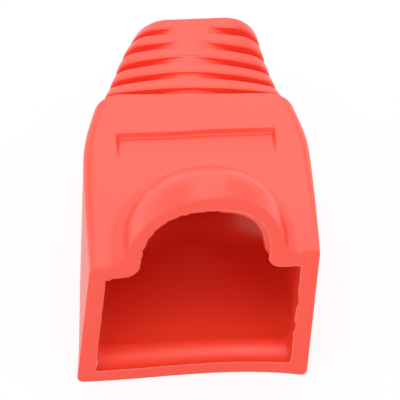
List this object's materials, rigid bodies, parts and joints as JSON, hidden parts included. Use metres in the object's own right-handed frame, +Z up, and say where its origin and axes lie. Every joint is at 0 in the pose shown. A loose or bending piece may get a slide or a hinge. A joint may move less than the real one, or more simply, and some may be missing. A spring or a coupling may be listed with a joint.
{
  "type": "cable connector strain relief boot",
  "caption": "Soft moulded boot for an eight-way modular plug: rectangular socket with an arched latch hood, label recess and a ribbed tapering cable tail.",
  "frame": {"origin": "on the flat base, at the middle of the boot's length and width", "axes": "+Y from the plug mouth to the cable tail, +Z up through the latch hood, X across; X = 0 is the mirror plane"},
  "size_m": [0.0144, 0.0248, 0.0147],
  "materials": {
    "boot": "moulded satin"
  },
  "bodies": {
    "root": {"boot": "boot"}
  },
  "joints": []
}
